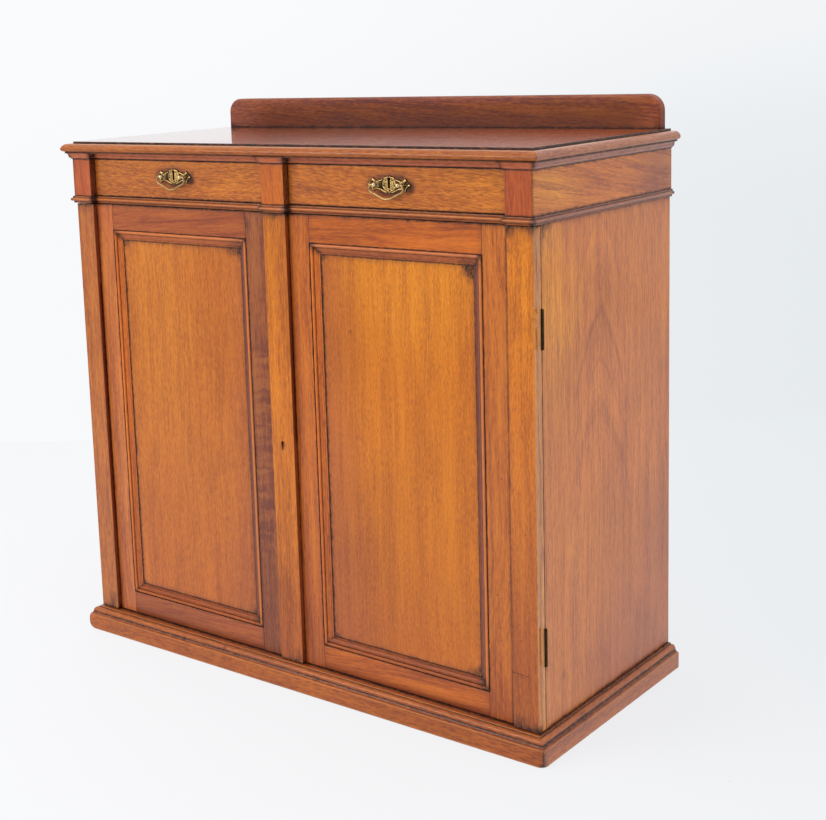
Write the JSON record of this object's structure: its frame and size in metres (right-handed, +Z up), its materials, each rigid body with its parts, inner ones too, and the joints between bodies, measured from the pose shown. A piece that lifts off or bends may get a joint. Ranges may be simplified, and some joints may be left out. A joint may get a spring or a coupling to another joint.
{
  "type": "chiffonier",
  "caption": "Low panelled-door cupboard with frieze drawers over it, a moulded top with a low upstand at the back, and a moulded plinth.",
  "frame": {"origin": "on the floor, at the middle of the plinth's footprint, which is the middle of the whole outline seen from above", "axes": "+X to the right along the front, the doors and drawers face -Y, +Z up"},
  "size_m": [1.072, 0.4844, 1.0549],
  "materials": {
    "case_side_wood": "French-polished mahogany, grain upright",
    "frieze_wood": "French-polished mahogany, grain lengthwise",
    "block_wood": "French-polished mahogany, redder",
    "rail_wood": "mahogany edge over softwood, polished at the front",
    "inner_wood": "unpolished softwood, darkened with age",
    "back_wood": "unpolished softwood boards",
    "plinth_wood": "French-polished mahogany, worn edges",
    "top_wood": "French-polished mahogany, high gloss",
    "moulding_wood": "French-polished mahogany, dark in the hollows",
    "upstand_wood": "French-polished mahogany, darker",
    "stile_wood": "French-polished mahogany, grain upright",
    "door_rail_wood": "French-polished mahogany, grain crosswise",
    "panel_wood": "French-polished mahogany, golden, flecked",
    "panel_moulding_wood": "French-polished mahogany, dark at the mitres",
    "pilaster_wood": "French-polished mahogany, grain upright",
    "drawer_front_wood": "French-polished mahogany, grain lengthwise",
    "hinge_brass": "aged, dull brass",
    "screw_steel": "old steel screws",
    "lock_steel": "dark steel case",
    "bolt_brass": "worn brass",
    "handle_brass": "aged cast brass, dark in the hollows"
  },
  "bodies": {
    "case": {"side_left": "case_side_wood", "side_right": "case_side_wood", "frieze_sides": "frieze_wood", "frieze_blocks": "block_wood", "top_rail": "rail_wood", "drawer_rail": "rail_wood", "drawer_partition": "inner_wood", "drawer_guides": "inner_wood", "drawer_stops": "inner_wood", "dust_board": "inner_wood", "cupboard_bottom": "inner_wood", "shelf": "inner_wood", "shelf_bearers": "inner_wood", "plinth_back": "inner_wood", "back_boards": "back_wood", "plinth_front": "plinth_wood", "plinth_sides": "plinth_wood", "top_board": "top_wood", "bed_moulding": "moulding_wood", "waist_moulding": "moulding_wood", "upstand": "upstand_wood", "hinge_case_leaves": "hinge_brass", "hinge_case_screws": "screw_steel"},
    "left_door": {"left_door_hinge_stile": "stile_wood", "left_door_meeting_stile": "stile_wood", "left_door_rails": "door_rail_wood", "left_door_panel": "panel_wood", "left_door_panel_moulding": "panel_moulding_wood", "left_door_pilaster": "pilaster_wood", "left_door_hinge_leaves": "hinge_brass", "left_door_hinge_screws": "screw_steel", "left_door_bolt_plate": "bolt_brass"},
    "left_door_bolt": {"left_door_bolt": "bolt_brass"},
    "right_door": {"right_door_hinge_stile": "stile_wood", "right_door_meeting_stile": "stile_wood", "right_door_rails": "door_rail_wood", "right_door_panel": "panel_wood", "right_door_panel_moulding": "panel_moulding_wood", "right_door_pilaster": "pilaster_wood", "right_door_centre_strip": "pilaster_wood", "right_door_hinge_leaves": "hinge_brass", "right_door_hinge_screws": "screw_steel", "right_door_lock_case": "lock_steel"},
    "right_door_lock_bolt": {"right_door_lock_bolt": "bolt_brass"},
    "left_drawer": {"left_drawer_front": "drawer_front_wood", "left_drawer_sides_back": "inner_wood", "left_drawer_bottom": "inner_wood", "left_drawer_lock_case": "lock_steel", "left_drawer_handle_plate": "handle_brass", "left_drawer_handle_posts": "handle_brass"},
    "left_drawer_bail": {"left_drawer_handle_bail": "handle_brass"},
    "left_drawer_lock_bolt": {"left_drawer_lock_bolt": "bolt_brass"},
    "right_drawer": {"right_drawer_front": "drawer_front_wood", "right_drawer_sides_back": "inner_wood", "right_drawer_bottom": "inner_wood", "right_drawer_lock_case": "lock_steel", "right_drawer_handle_plate": "handle_brass", "right_drawer_handle_posts": "handle_brass"},
    "right_drawer_bail": {"right_drawer_handle_bail": "handle_brass"},
    "right_drawer_lock_bolt": {"right_drawer_lock_bolt": "bolt_brass"}
  },
  "joints": [
    {"name": "left_door_hinge", "type": "hinge", "parent": "case", "child": "left_door", "pos_m": [-0.5166, -0.19915, 0.46], "axis": [0, 0, -1], "range_deg": [0, 175]},
    {"name": "right_door_hinge", "type": "hinge", "parent": "case", "child": "right_door", "pos_m": [0.5166, -0.19915, 0.46], "axis": [0, 0, 1], "range_deg": [0, 175]},
    {"name": "left_drawer_slide", "type": "slide", "parent": "case", "child": "left_drawer", "axis": [0, -1, 0], "range_m": [0, 0.34]},
    {"name": "right_drawer_slide", "type": "slide", "parent": "case", "child": "right_drawer", "axis": [0, -1, 0], "range_m": [0, 0.34]},
    {"name": "left_bail_hinge", "type": "hinge", "parent": "left_drawer", "child": "left_drawer_bail", "pos_m": [-0.255, -0.22265, 0.9316], "axis": [-1, 0, 0], "range_deg": [0, 95]},
    {"name": "right_bail_hinge", "type": "hinge", "parent": "right_drawer", "child": "right_drawer_bail", "pos_m": [0.239, -0.22265, 0.9305], "axis": [-1, 0, 0], "range_deg": [0, 95]},
    {"name": "left_door_bolt_slide", "type": "slide", "parent": "left_door", "child": "left_door_bolt", "axis": [0, 0, 1], "range_m": [0, 0.01]},
    {"name": "right_door_lock_slide", "type": "slide", "parent": "right_door", "child": "right_door_lock_bolt", "axis": [-1, 0, 0], "range_m": [0, 0.008]},
    {"name": "left_drawer_lock_slide", "type": "slide", "parent": "left_drawer", "child": "left_drawer_lock_bolt", "axis": [0, 0, 1], "range_m": [0, 0.008]},
    {"name": "right_drawer_lock_slide", "type": "slide", "parent": "right_drawer", "child": "right_drawer_lock_bolt", "axis": [0, 0, 1], "range_m": [0, 0.008]}
  ]
}
